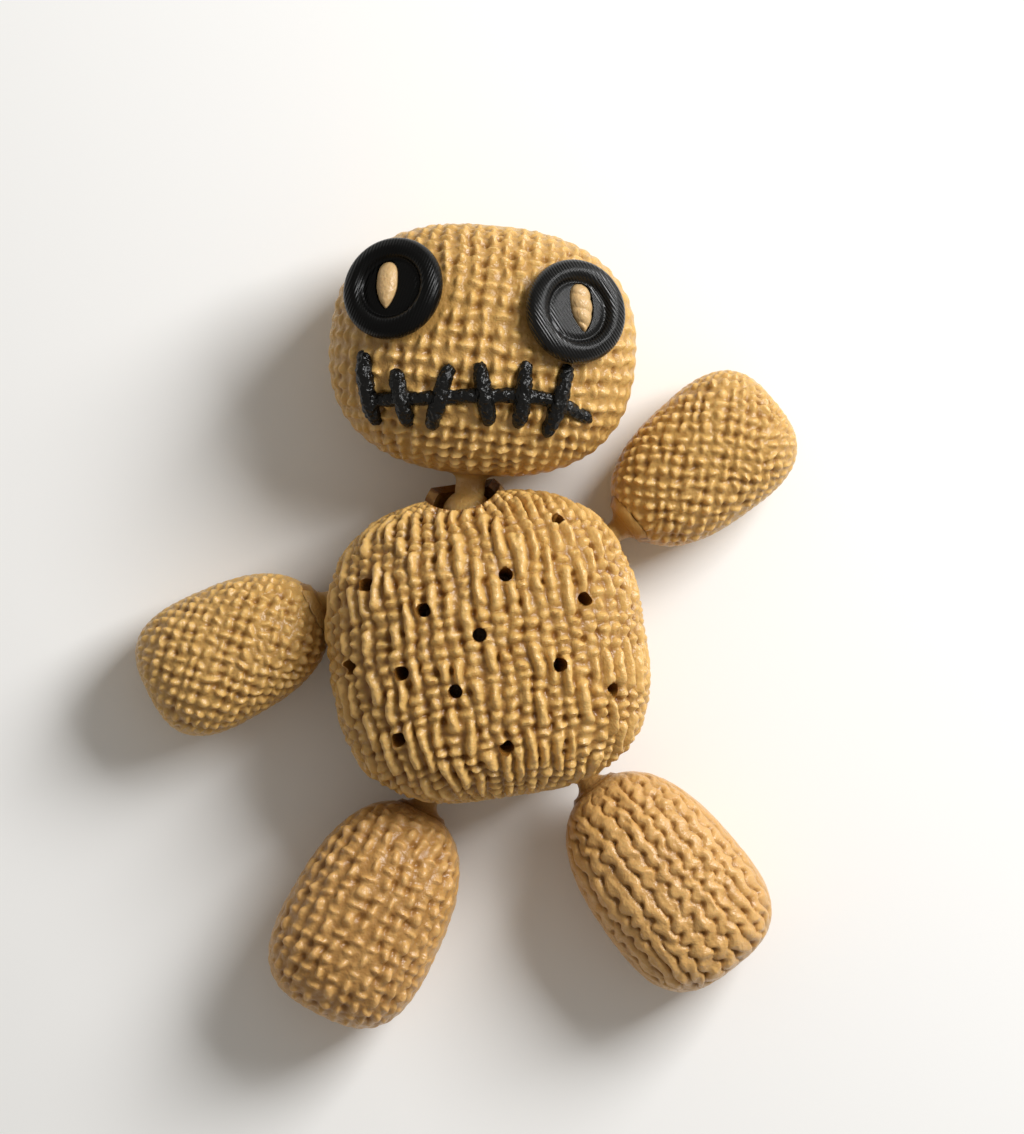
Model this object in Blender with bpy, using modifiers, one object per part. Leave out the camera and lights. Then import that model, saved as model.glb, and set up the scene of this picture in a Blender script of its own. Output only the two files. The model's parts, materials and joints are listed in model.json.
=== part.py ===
# Jointed voodoo doll of printed plastic with a burlap weave moulded into its skin.
#
# The doll lies on its flat back. +Z comes out of its face, +Y runs up the torso to the neck,
# and the origin is the middle of the torso's flat back. The head and the limbs hang in the
# torso by balls that sit captive in its sockets, and each is placed by its ball's centre.

import math

import bmesh
import bpy
import numpy as np
from mathutils import Matrix, Vector

MM = 0.001
GAP = 0.3 * MM  # what fixed pieces keep between them

# Weave: spacing of the yarns and how far a crossing stands out
TORSO_WARP_SPACING = 3.3 * MM
TORSO_WEFT_SPACING = 4.5 * MM
HEAD_YARN_SPACING = 3.3 * MM
LIMB_YARN_SPACING = 3.5 * MM
TORSO_RELIEF = 0.65 * MM
LIMB_RELIEF = 0.55 * MM
BACK_CUT = 2.0 * MM  # how much of each round form the flat back takes off

# Torso
TORSO_HALF_WIDTH = 24.7 * MM
TORSO_HALF_HEIGHT = 23.8 * MM
TORSO_HALF_DEPTH = 16.5 * MM
TORSO_TOP_POWER = 2.65
TORSO_HIP_POWER = 3.0
SECTION_POWER = 2.3

# Head
HEAD_HALF_WIDTH = 23.9 * MM
HEAD_HALF_HEIGHT = 19.5 * MM
HEAD_HALF_DEPTH = 16.0 * MM
HEAD_PLAN_POWER = 2.45

# Arms and legs: round at the joint end, squarer at the hand and the foot
ARM_LENGTH = 30.4 * MM
ARM_HALF_WIDTH = 10.6 * MM
ARM_HALF_DEPTH = 10.5 * MM
LEG_LENGTH = 36.0 * MM
LEG_HALF_WIDTH = 12.3 * MM
LEG_HALF_DEPTH = 12.2 * MM
LIMB_JOINT_POWER = 2.45
LIMB_FREE_POWER = 2.95
LIMB_SPREAD = 0.09  # widening towards the hand or foot, as a share of the half width

# Ball joints of the limbs
LIMB_BALL_RADIUS = 3.7 * MM
LIMB_STEM_RADIUS = 1.65 * MM
LIMB_STEM_FLARE = 2.0 * MM
LIMB_STEM_LENGTH = 6.8 * MM  # from the ball's centre to the limb's body
LIMB_CUP_WALL = 1.25 * MM
LIMB_MOUTH_ANGLE = 56.0  # half angle of the cone that opens the socket

# Ball joint of the neck
NECK_BALL_RADIUS = 5.0 * MM
NECK_STEM_RADIUS = 2.4 * MM
NECK_STEM_FLARE = 1.2 * MM
NECK_STEM_LENGTH = 6.4 * MM
NECK_CUP_WALL = 1.5 * MM
NECK_MOUTH_ANGLE = 44.0
BALL_CLEARANCE = 0.6 * MM

# Where the joints sit: how far the ball's centre lies in from the torso's edge, and its height
NECK_INSET = 3.2 * MM
SHOULDER_INSET = 6.4 * MM
SHOULDER_RISE = 12.1 * MM
HIP_INSET = 5.4 * MM
HIP_SPREAD = 9.7 * MM
LIMB_JOINT_HEIGHT = 9.5 * MM
NECK_JOINT_HEIGHT = 10.5 * MM

# Directions in degrees, counter-clockwise from +X: the sockets, then the pieces as they lie
NECK_SOCKET_ANGLE = 90.0
SHOULDER_SOCKET_ANGLE = 5.5
HIP_SOCKET_ANGLE = -55.0
HEAD_ANGLE = 76.2
LEFT_ARM_ANGLE = 198.4
RIGHT_ARM_ANGLE = 30.6
LEFT_LEG_ANGLE = 234.0
RIGHT_LEG_ANGLE = -60.5
ARM_SWING = 28.0
LEG_SWING = 24.0

# Clearances that the torso's skin gives the neck and the swinging limbs
NECK_RELIEF_RADIUS = 9.3 * MM
NECK_RELIEF_DEPTH = 2.0 * MM
LIMB_RELIEF_GAP = 0.9 * MM

# Pin holes in the torso's front
PIN_HOLE_RADIUS = 1.1 * MM
PIN_HOLE_DEPTH = 7.0 * MM
PIN_HOLES = [
    (-17.2, 12.2), (-8.8, 7.0), (4.6, 10.6), (-0.8, 1.9), (13.9, 18.0), (16.2, 5.0), (10.7, -4.5),
    (-21.4, -0.1), (-13.7, -2.2), (-5.8, -6.2), (18.6, -9.6), (-15.7, -12.3), (0.8, -16.0),
]  # in millimetres from the torso's middle

# Button eyes, placed from the middle of the face
BUTTON_RADIUS = 8.2 * MM
BUTTON_THICKNESS = 3.9 * MM
BUTTON_RIM_WIDTH = 3.8 * MM
BUTTON_RECESS = 1.3 * MM
BUTTON_BACK_ROUND = 1.2 * MM
BUTTON_SEAT_DEPTH = 0.8 * MM
EYE_SPREAD = 14.0 * MM
EYE_RISE = 7.5 * MM
EYE_TILT = 2.0  # lean of the slot in each button, clockwise
SLOT_LENGTH = 7.8 * MM
SLOT_WIDTH = 4.0 * MM

# Yarn stitch that pins each button
STITCH_STANDOUT = 0.7 * MM
STITCH_ROOT = 2.6 * MM
STITCH_CLEARANCE = 0.3 * MM

# Mouth: thick thread laid in a groove of the face, and six stitches over it
THREAD_RADIUS = 1.1 * MM
THREAD_SINK = 0.35 * MM
CROSS_LIFT = 0.5 * MM
MOUTH_LINE = [(-16.4, -9.5), (-9.0, -8.6), (-2.1, -7.7), (3.7, -7.0), (10.5, -6.9), (17.7, -9.4)]
MOUTH_STITCHES = [
    ((-18.3, -2.5), (-15.5, -12.8)),
    ((-12.9, -4.9), (-10.4, -12.6)),
    ((-4.8, -3.6), (-6.8, -12.7)),
    ((-0.2, -2.6), (2.1, -11.3)),
    ((7.0, -2.0), (6.7, -11.3)),
    ((13.5, -1.7), (11.2, -12.2)),
]  # top and bottom ends, in millimetres from the middle of the face

TAN = (0.50, 0.27, 0.09)
STITCH_TAN = (0.62, 0.34, 0.12)
BLACK = (0.012, 0.012, 0.013)


def remove_everything():
    for item in list(bpy.data.objects):
        bpy.data.objects.remove(item, do_unlink=True)


def make_collection(name, parent):
    collection = bpy.data.collections.new(name)
    parent.children.link(collection)
    return collection


def make_material(name, colour, roughness):
    material = bpy.data.materials.new(name)
    material.use_nodes = True
    shader = material.node_tree.nodes["Principled BSDF"]
    shader.inputs["Base Color"].default_value = (*colour, 1.0)
    shader.inputs["Roughness"].default_value = roughness
    shader.inputs["Metallic"].default_value = 0.0
    return material


def make_object(name, mesh, collection):
    item = bpy.data.objects.new(name, mesh)
    collection.objects.link(item)
    return item


def as_cutter(item):
    item.hide_render = True
    item.display_type = "WIRE"
    return item


def even_superellipse(half_a, half_b, power_start, power_end, start, sweep, count):
    """Unit points spaced evenly along the curve |u|^n + |v|^n = 1 drawn with these half sizes."""
    angles = np.linspace(start, start + sweep, 4001)
    cosine, sine = np.cos(angles), np.sin(angles)
    power = np.where(sine < 0.0, power_start, power_end)
    radius = (abs(cosine) ** power + abs(sine) ** power) ** (-1.0 / power)
    u, v = radius * cosine, radius * sine
    steps = np.hypot(np.diff(u) * half_a, np.diff(v) * half_b)
    run = np.concatenate(([0.0], np.cumsum(steps)))
    places = np.linspace(0.0, run[-1], count + 1)
    return np.interp(places, run, u), np.interp(places, run, v), run[-1]


class Form:
    """A pillow-shaped body: its outline in plan, its section and its taper along Y."""

    def __init__(self, half_width, half_height, half_depth, power_low, power_high, spread=0.0):
        self.half_width = half_width
        self.half_height = half_height
        self.half_depth = half_depth
        self.power_low = power_low
        self.power_high = power_high
        self.spread = spread
        self.centre_height = half_depth - BACK_CUT

    def profile(self, count):
        """Share of the full section and place along Y, from the top pole to the bottom one."""
        return even_superellipse(self.half_width, self.half_height, self.power_low,
                                 self.power_high, math.pi / 2, -math.pi, count)

    def section(self, count):
        return even_superellipse(self.half_width, self.half_depth, SECTION_POWER,
                                 SECTION_POWER, 0.0, 2 * math.pi, count)

    def point(self, share, along, across, deep):
        """Point and outward normal for one row (share, along) and one column (across, deep)."""
        power = self.power_high if along > 0 else self.power_low
        widen = 1.0 + self.spread * along
        place = Vector((across * share * self.half_width * widen,
                        along * self.half_height,
                        deep * share * self.half_depth * widen))
        ring = share ** (power - 1)
        lean = SECTION_POWER - 1
        normal = Vector((
            math.copysign(ring * abs(across) ** lean / self.half_width, across),
            math.copysign(abs(along) ** (power - 1) / self.half_height, along),
            math.copysign(ring * abs(deep) ** lean / self.half_depth, deep),
        ))
        return place, normal.normalized()

    def front(self, x, y):
        """Point of the front surface over (x, y), and its normal."""
        along = y / self.half_height
        power = self.power_high if along > 0 else self.power_low
        share = (1.0 - abs(along) ** power) ** (1.0 / power)
        widen = 1.0 + self.spread * along
        across = x / (self.half_width * widen * share)
        deep = (1.0 - abs(across) ** SECTION_POWER) ** (1.0 / SECTION_POWER)
        return self.point(share, along, across, deep)


def even_count(length, spacing):
    return max(4, 2 * round(length / spacing / 2))


def ribbed_weave(column, row):
    """Torso: upright strands, each two columns wide, that sink at every other weft."""
    if column % 2:
        return 0.0
    over = (column // 2 + row) % 2 == 0
    return 1.0 if over else 0.55


def plain_weave(column, row):
    """Head and limbs: crossings that stand out like a chessboard."""
    return 1.0 if (column + row) % 2 == 0 else 0.0


def woven_body(name, form, warp, weft, weave, columns_each, relief, collection, offset):
    """Body swept from pole to pole along Y with the weave raised on it, cut flat at the back."""
    columns = columns_each * even_count(form.section(8)[2], warp)
    rows = even_count(form.profile(8)[2], weft)
    shares, alongs, _ = form.profile(rows)
    acrosses, deeps, _ = form.section(columns)

    mesh = bpy.data.meshes.new(name)
    bm = bmesh.new()
    bmesh.ops.create_uvsphere(bm, u_segments=columns, v_segments=rows, radius=1.0)
    for vertex in bm.verts:
        row = round(math.acos(max(-1.0, min(1.0, vertex.co.z))) / math.pi * rows)
        turn = math.atan2(vertex.co.y, vertex.co.x) / (2 * math.pi)
        column = round(turn * columns) % columns
        place, normal = form.point(max(shares[row], 1e-9), alongs[row],
                                   acrosses[column], -deeps[column])
        fade = min(1.0, shares[row] / 0.45) ** 2
        vertex.co = place + normal * relief * fade * (weave(column, row) - 0.5)

    back = -form.centre_height
    everything = bm.verts[:] + bm.edges[:] + bm.faces[:]
    cut = bmesh.ops.bisect_plane(bm, geom=everything, plane_co=(0, 0, back),
                                 plane_no=(0, 0, -1), clear_outer=True)
    rim = [edge for edge in cut["geom_cut"] if isinstance(edge, bmesh.types.BMEdge)]
    bmesh.ops.edgeloop_fill(bm, edges=rim)
    bmesh.ops.translate(bm, verts=bm.verts, vec=offset)
    bmesh.ops.recalc_face_normals(bm, faces=bm.faces)
    bm.to_mesh(mesh)
    bm.free()
    mesh.shade_smooth()
    return make_object(name, mesh, collection)


def turned(name, profile, segments, collection):
    """Solid turned about Z from a profile that runs down its outer side from axis to axis."""
    mesh = bpy.data.meshes.new(name)
    edges = [(index, index + 1) for index in range(len(profile) - 1)]
    mesh.from_pydata([(x, 0.0, z) for x, z in profile], edges, [])
    item = make_object(name, mesh, collection)
    screw = item.modifiers.new("turn", "SCREW")
    screw.axis = "Z"
    screw.steps = segments
    screw.render_steps = segments
    screw.use_merge_vertices = True
    screw.merge_threshold = 0.00001
    return item


def arc(centre, radius, start, end, steps):
    """Points of an arc in the X-Z plane, angles in degrees from +X."""
    angles = [math.radians(start + (end - start) * step / steps) for step in range(steps + 1)]
    return [(centre[0] + radius * math.cos(a), centre[1] + radius * math.sin(a)) for a in angles]


def combine(item, operation, other):
    """Boolean with one object, or with all the objects of a collection."""
    modifier = item.modifiers.new(other.name, "BOOLEAN")
    modifier.operation = operation
    modifier.solver = "EXACT"
    if isinstance(other, bpy.types.Collection):
        modifier.operand_type = "COLLECTION"
        modifier.collection = other
    else:
        modifier.object = other
    return modifier


def lay_along(angle):
    """Turns Z, the axis of turned shapes, to a direction in plan."""
    turn = Matrix.Rotation(math.radians(angle - 90.0), 4, "Z")
    return turn @ Matrix.Rotation(math.radians(-90.0), 4, "X")


class Joint:
    """One ball joint: where its ball is, where its socket points and the sizes of both."""

    def __init__(self, x, y, z, socket_angle, ball, stem, flare, length, wall, mouth):
        self.place = Vector((x, y, z))
        self.socket_angle = socket_angle
        self.ball = ball
        self.stem = stem
        self.flare = flare
        self.length = length
        self.cavity = ball + BALL_CLEARANCE
        self.cup = self.cavity + wall
        self.mouth = mouth


def limb_joint(x, y, angle):
    return Joint(x, y, LIMB_JOINT_HEIGHT, angle, LIMB_BALL_RADIUS, LIMB_STEM_RADIUS,
                 LIMB_STEM_FLARE, LIMB_STEM_LENGTH, LIMB_CUP_WALL, LIMB_MOUTH_ANGLE)


def all_joints():
    shoulder_x = TORSO_HALF_WIDTH - SHOULDER_INSET
    hip_y = HIP_INSET - TORSO_HALF_HEIGHT
    return {
        "head": Joint(0.0, TORSO_HALF_HEIGHT - NECK_INSET, NECK_JOINT_HEIGHT, NECK_SOCKET_ANGLE,
                      NECK_BALL_RADIUS, NECK_STEM_RADIUS, NECK_STEM_FLARE, NECK_STEM_LENGTH,
                      NECK_CUP_WALL, NECK_MOUTH_ANGLE),
        "left_arm": limb_joint(-shoulder_x, SHOULDER_RISE, 180.0 - SHOULDER_SOCKET_ANGLE),
        "right_arm": limb_joint(shoulder_x, SHOULDER_RISE, SHOULDER_SOCKET_ANGLE),
        "left_leg": limb_joint(-HIP_SPREAD, hip_y, 180.0 - HIP_SOCKET_ANGLE),
        "right_leg": limb_joint(HIP_SPREAD, hip_y, HIP_SOCKET_ANGLE),
    }


def sphere(name, radius, segments, collection):
    mesh = bpy.data.meshes.new(name)
    bm = bmesh.new()
    bmesh.ops.create_uvsphere(bm, u_segments=segments, v_segments=segments // 2, radius=radius)
    bm.to_mesh(mesh)
    bm.free()
    return make_object(name, mesh, collection)


def cut_sockets(torso, joints, cutters):
    """Cups that carry the balls, with a hollow and a conical mouth in each."""
    cups = make_collection("cups", cutters)
    hollows = make_collection("hollows", cutters)
    mouths = make_collection("mouths", cutters)
    for name, joint in joints.items():
        placing = Matrix.Translation(joint.place) @ lay_along(joint.socket_angle)
        as_cutter(sphere(name + "_cup", joint.cup, 14, cups)).matrix_world = placing
        as_cutter(sphere(name + "_hollow", joint.cavity, 12, hollows)).matrix_world = placing
        reach = joint.cup * 1.6
        half = reach * math.tan(math.radians(joint.mouth))
        mouth = turned(name + "_mouth", [(0.0, reach), (half, reach), (0.0, 0.0)], 12, mouths)
        as_cutter(mouth).matrix_world = placing
    combine(torso, "UNION", cups)
    combine(torso, "DIFFERENCE", hollows)
    combine(torso, "DIFFERENCE", mouths)


def cut_neck_relief(torso, cutters):
    """Bite out of the rim in front of the neck, so that the head can nod."""
    cutter = sphere("neck_relief", NECK_RELIEF_RADIUS, 20, cutters)
    rim = TORSO_HALF_HEIGHT - NECK_RELIEF_DEPTH
    cutter.location = (0.0, rim + NECK_RELIEF_RADIUS, TORSO_HALF_DEPTH - BACK_CUT)
    combine(torso, "DIFFERENCE", as_cutter(cutter))


def cut_limb_reliefs(torso, joints, forms, cutters):
    """Hollows in the torso's sides that take the round ends of the limbs at full swing."""
    reliefs = make_collection("limb_reliefs", cutters)
    for name, (form, swing) in forms.items():
        joint = joints[name]
        end = form.half_width * (1.0 - form.spread)
        for side in (-1, 1):
            angle = math.radians(joint.socket_angle + side * swing)
            reach = joint.length + end
            relief = sphere("%s_relief_%d" % (name, side), end + LIMB_RELIEF_GAP, 20, reliefs)
            relief.location = (joint.place.x + reach * math.cos(angle),
                               joint.place.y + reach * math.sin(angle), form.centre_height)
            as_cutter(relief)
    combine(torso, "DIFFERENCE", reliefs)


def cut_pin_holes(torso, form, cutters):
    holes = make_collection("pin_holes", cutters)
    for number, (x, y) in enumerate(PIN_HOLES, start=1):
        place, normal = form.front(x * MM, y * MM)
        top = TORSO_RELIEF * 3
        profile = [(0.0, top), (PIN_HOLE_RADIUS, top), (PIN_HOLE_RADIUS, -PIN_HOLE_DEPTH),
                   (0.0, -PIN_HOLE_DEPTH)]
        hole = turned("pin_hole_%d" % number, profile, 6, holes)
        turn = normal.to_track_quat("Z", "Y").to_matrix().to_4x4()
        hole.matrix_world = Matrix.Translation(place + Vector((0, 0, form.centre_height))) @ turn
        as_cutter(hole)
    combine(torso, "DIFFERENCE", holes)


def make_torso(joints, limb_forms, parts, cutters, material):
    form = Form(TORSO_HALF_WIDTH, TORSO_HALF_HEIGHT, TORSO_HALF_DEPTH,
                TORSO_HIP_POWER, TORSO_TOP_POWER)
    torso = woven_body("torso", form, TORSO_WARP_SPACING, TORSO_WEFT_SPACING, ribbed_weave, 2,
                       TORSO_RELIEF, parts, (0.0, 0.0, form.centre_height))
    torso.data.materials.append(material)
    cut_neck_relief(torso, cutters)
    cut_limb_reliefs(torso, joints, limb_forms, cutters)
    cut_sockets(torso, joints, cutters)
    cut_pin_holes(torso, form, cutters)
    return torso


def make_stem(name, joint, embed, cutters):
    """Ball, stem and trumpet flare in one turned shape, along Z from the ball's centre."""
    flare_out = joint.stem + joint.flare
    neck = math.degrees(math.acos(joint.stem / joint.ball))
    profile = [(0.0, joint.length + embed), (flare_out, joint.length + embed)]
    profile += arc((flare_out, joint.length - joint.flare), joint.flare, 90.0, 180.0, 2)
    profile += arc((0.0, 0.0), joint.ball, neck, -90.0, 5)
    profile[-1] = (0.0, -joint.ball)
    return as_cutter(turned(name, profile, 12, cutters))


def make_hung_piece(name, joint, angle, form, spacing, parts, cutters, material):
    """Head or limb: a woven body with its stem and ball, with its origin in the ball's centre."""
    rise = form.centre_height - joint.place.z
    body = woven_body(name, form, spacing, spacing, plain_weave, 1, LIMB_RELIEF, parts,
                      (0.0, joint.length + form.half_height, rise))
    body.data.materials.append(material)
    body.location = joint.place
    body.rotation_euler = (0.0, 0.0, math.radians(angle - 90.0))
    stem = make_stem(name + "_stem", joint, joint.stem, cutters)
    stem.parent = body
    stem.rotation_euler = (math.radians(-90.0), 0.0, 0.0)
    combine(body, "UNION", stem)
    return body


def facing(normal):
    """Turns Z to the normal and keeps Y as near the head's own upright as it can be."""
    across = Vector((0.0, 1.0, 0.0)).cross(normal).normalized()
    upright = normal.cross(across)
    return Matrix((across, upright, normal)).transposed().to_4x4()


def face_place(form, joint, x, y):
    """Point of the face and its normal, in the head's own frame about the neck ball."""
    place, normal = form.front(x, y)
    middle = Vector((0.0, joint.length + form.half_height, form.centre_height - joint.place.z))
    return place + middle, normal


def slot_outline(name, length, width, low, high, collection):
    """Lens-shaped bar about Z: two arcs that meet at the ends of its length."""
    half_length, half_width = length / 2, width / 2
    radius = (half_length ** 2 + half_width ** 2) / (2 * half_width)
    reach = math.asin(half_length / radius)
    curve = bpy.data.curves.new(name, "CURVE")
    curve.dimensions = "2D"
    curve.fill_mode = "BOTH"
    curve.extrude = (high - low) / 2
    spline = curve.splines.new("POLY")
    points = []
    for side in (1, -1):
        for step in range(5):
            a = reach * (1 - step / 2.5)
            x = side * (radius * math.cos(a) - radius + half_width)
            points.append((x, side * radius * math.sin(a), 0.0, 1.0))
    spline.points.add(len(points) - 1)
    for point, place in zip(spline.points, points):
        point.co = place
    spline.use_cyclic_u = True
    return curve_to_mesh(name, curve, collection)


def curve_to_mesh(name, curve, collection):
    """The curve as a closed mesh object with its caps welded."""
    item = make_object(name + "_curve", curve, bpy.context.scene.collection)
    bpy.context.view_layer.update()
    evaluated = item.evaluated_get(bpy.context.evaluated_depsgraph_get())
    mesh = bpy.data.meshes.new_from_object(evaluated)
    bm = bmesh.new()
    bm.from_mesh(mesh)
    bmesh.ops.remove_doubles(bm, verts=bm.verts, dist=0.00001)
    bmesh.ops.recalc_face_normals(bm, faces=bm.faces)
    bm.to_mesh(mesh)
    bm.free()
    bpy.data.objects.remove(item)
    return make_object(name, mesh, collection)


def button_profile():
    """Button: flat back, round rim and a dished floor, about its own axis from the back face."""
    rim = BUTTON_RIM_WIDTH / 2
    floor = BUTTON_THICKNESS - BUTTON_RECESS
    middle = BUTTON_THICKNESS - rim
    dish = math.degrees(math.asin((floor - middle) / rim))
    profile = [(0.0, floor)]
    profile += arc((BUTTON_RADIUS - rim, middle), rim, 180.0 - dish, 0.0, 5)
    profile += [(BUTTON_RADIUS - BUTTON_BACK_ROUND, 0.0), (0.0, 0.0)]
    return profile


def make_eye(side, number_name, head, form, joint, parts, cutters, black, yarn):
    """Button in its seat on the face, and the yarn stitch through its slot."""
    place, normal = face_place(form, joint, side * EYE_SPREAD, EYE_RISE)
    placing = Matrix.Translation(place - normal * BUTTON_SEAT_DEPTH)
    placing = placing @ facing(normal) @ Matrix.Rotation(math.radians(-EYE_TILT), 4, "Z")

    seat_radius = BUTTON_RADIUS + GAP
    high = BUTTON_THICKNESS * 2
    seat = turned(number_name + "_seat", [(0.0, high), (seat_radius, high),
                                          (seat_radius, -GAP), (0.0, -GAP)], 18, cutters)
    as_cutter(seat).parent = head
    seat.matrix_local = placing
    combine(head, "DIFFERENCE", seat)

    socket = slot_outline(number_name + "_stitch_socket", SLOT_LENGTH, SLOT_WIDTH,
                          -STITCH_ROOT - GAP, high, cutters)
    as_cutter(socket).parent = head
    socket.matrix_local = placing @ Matrix.Translation((0, 0, (high - STITCH_ROOT - GAP) / 2))
    combine(head, "DIFFERENCE", socket)

    button = turned(number_name + "_button", button_profile(), 16, parts)
    button.data.materials.append(black)
    button.parent = head
    button.matrix_local = placing
    slot = slot_outline(number_name + "_slot", SLOT_LENGTH, SLOT_WIDTH, -high, high, cutters)
    as_cutter(slot).parent = button
    slot.matrix_local = Matrix.Identity(4)
    combine(button, "DIFFERENCE", slot)

    low = -STITCH_ROOT
    top = BUTTON_THICKNESS - BUTTON_RECESS + STITCH_STANDOUT
    stitch = slot_outline(number_name + "_thread", SLOT_LENGTH - 2 * STITCH_CLEARANCE,
                          SLOT_WIDTH - 2 * STITCH_CLEARANCE, low, top, parts)
    stitch.data.materials.append(yarn)
    stitch.parent = head
    stitch.matrix_local = placing @ Matrix.Translation((0, 0, (low + top) / 2))


def thread_tube(name, points, radius, collection, head):
    """Round thread through the points, as a closed mesh."""
    curve = bpy.data.curves.new(name, "CURVE")
    curve.dimensions = "3D"
    curve.bevel_depth = radius
    curve.bevel_resolution = 1
    curve.use_fill_caps = True
    spline = curve.splines.new("POLY")
    spline.points.add(len(points) - 1)
    for point, place in zip(spline.points, points):
        point.co = (*place, 1.0)
    solid = curve_to_mesh(name, curve, collection)
    solid.parent = head
    return solid


def make_mouth(head, form, joint, parts, cutters, material):
    """Black thread across the mouth with its stitches, lying in a groove of the face."""
    grooves = make_collection("mouth_grooves", cutters)
    threads = make_collection("mouth_threads", cutters)

    def laid(x, y, lift):
        place, normal = face_place(form, joint, x * MM, y * MM)
        return place + normal * (lift - THREAD_SINK)

    line = [laid(x, y, 0.0) for x, y in MOUTH_LINE]
    routes = []
    for top, bottom in MOUTH_STITCHES:
        middle = ((top[0] + bottom[0]) / 2, (top[1] + bottom[1]) / 2)
        routes.append([laid(*top, 0.0), laid(*middle, CROSS_LIFT), laid(*bottom, 0.0)])
    for number, route in enumerate(routes, start=1):
        as_cutter(thread_tube("thread_%d" % number, route, THREAD_RADIUS, threads, head))
    for number, route in enumerate([line] + routes):
        as_cutter(thread_tube("groove_%d" % number, route, THREAD_RADIUS + GAP, grooves, head))
    combine(head, "DIFFERENCE", grooves)

    mouth = thread_tube("mouth_stitches", line, THREAD_RADIUS, parts, head)
    mouth.data.materials.append(material)
    combine(mouth, "UNION", threads)


def main():
    remove_everything()
    scene = bpy.context.scene.collection
    cutters = make_collection("cutters", scene)
    parts = bpy.data.collections.new("voodoo_doll")  # joins the scene once all its cutters exist
    tan = make_material("tan_plastic", TAN, 0.45)
    black = make_material("black_plastic", BLACK, 0.32)
    yarn = make_material("stitch_tan", STITCH_TAN, 0.45)

    joints = all_joints()
    arm = Form(ARM_HALF_WIDTH, ARM_LENGTH / 2, ARM_HALF_DEPTH,
               LIMB_JOINT_POWER, LIMB_FREE_POWER, LIMB_SPREAD)
    leg = Form(LEG_HALF_WIDTH, LEG_LENGTH / 2, LEG_HALF_DEPTH,
               LIMB_JOINT_POWER, LIMB_FREE_POWER, LIMB_SPREAD)
    swings = {"left_arm": (arm, ARM_SWING), "right_arm": (arm, ARM_SWING),
              "left_leg": (leg, LEG_SWING), "right_leg": (leg, LEG_SWING)}
    make_torso(joints, swings, parts, cutters, tan)

    head_form = Form(HEAD_HALF_WIDTH, HEAD_HALF_HEIGHT, HEAD_HALF_DEPTH,
                     HEAD_PLAN_POWER, HEAD_PLAN_POWER)
    neck = joints["head"]
    head = make_hung_piece("head", neck, HEAD_ANGLE, head_form, HEAD_YARN_SPACING,
                           parts, cutters, tan)
    make_eye(-1, "left_eye", head, head_form, neck, parts, cutters, black, yarn)
    make_eye(1, "right_eye", head, head_form, neck, parts, cutters, black, yarn)
    make_mouth(head, head_form, neck, parts, cutters, black)

    angles = {"left_arm": LEFT_ARM_ANGLE, "right_arm": RIGHT_ARM_ANGLE,
              "left_leg": LEFT_LEG_ANGLE, "right_leg": RIGHT_LEG_ANGLE}
    for name, (form, _) in swings.items():
        make_hung_piece(name, joints[name], angles[name], form, LIMB_YARN_SPACING,
                        parts, cutters, tan)
    scene.children.link(parts)


main()
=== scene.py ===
import json
import math

import bmesh
import bpy
import numpy as np
from mathutils import Matrix, Vector, noise


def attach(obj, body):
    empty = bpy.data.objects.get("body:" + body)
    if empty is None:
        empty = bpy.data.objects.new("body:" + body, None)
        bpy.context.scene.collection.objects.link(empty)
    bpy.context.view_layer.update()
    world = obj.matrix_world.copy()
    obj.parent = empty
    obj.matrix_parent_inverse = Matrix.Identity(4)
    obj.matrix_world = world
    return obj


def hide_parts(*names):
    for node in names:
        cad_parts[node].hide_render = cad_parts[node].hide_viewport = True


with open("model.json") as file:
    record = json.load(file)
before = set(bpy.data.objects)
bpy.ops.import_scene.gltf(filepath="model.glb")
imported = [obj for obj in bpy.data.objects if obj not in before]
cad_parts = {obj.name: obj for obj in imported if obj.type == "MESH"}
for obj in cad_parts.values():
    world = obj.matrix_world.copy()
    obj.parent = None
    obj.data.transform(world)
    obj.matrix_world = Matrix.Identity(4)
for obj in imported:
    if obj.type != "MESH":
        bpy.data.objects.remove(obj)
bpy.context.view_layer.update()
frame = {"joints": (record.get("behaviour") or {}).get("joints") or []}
mm = 0.001  # the frame is in metres, the lengths in the dictionaries are in millimetres
print("frame loaded")


# Shader helpers

class Value:
    # a shader socket whose sums and products add Math nodes

    def __init__(self, finish, socket):
        self.finish = finish
        self.socket = socket

    def maths(self, operation, first, second):
        made = self.finish.node("ShaderNodeMath", {"operation": operation}, {0: first, 1: second})
        return self.finish.value(made, 0)

    def __add__(self, other):
        return self.maths("ADD", self, other)

    def __radd__(self, other):
        return self.maths("ADD", other, self)

    def __sub__(self, other):
        return self.maths("SUBTRACT", self, other)

    def __rsub__(self, other):
        return self.maths("SUBTRACT", other, self)

    def __mul__(self, other):
        return self.maths("MULTIPLY", self, other)

    def __rmul__(self, other):
        return self.maths("MULTIPLY", other, self)


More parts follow.
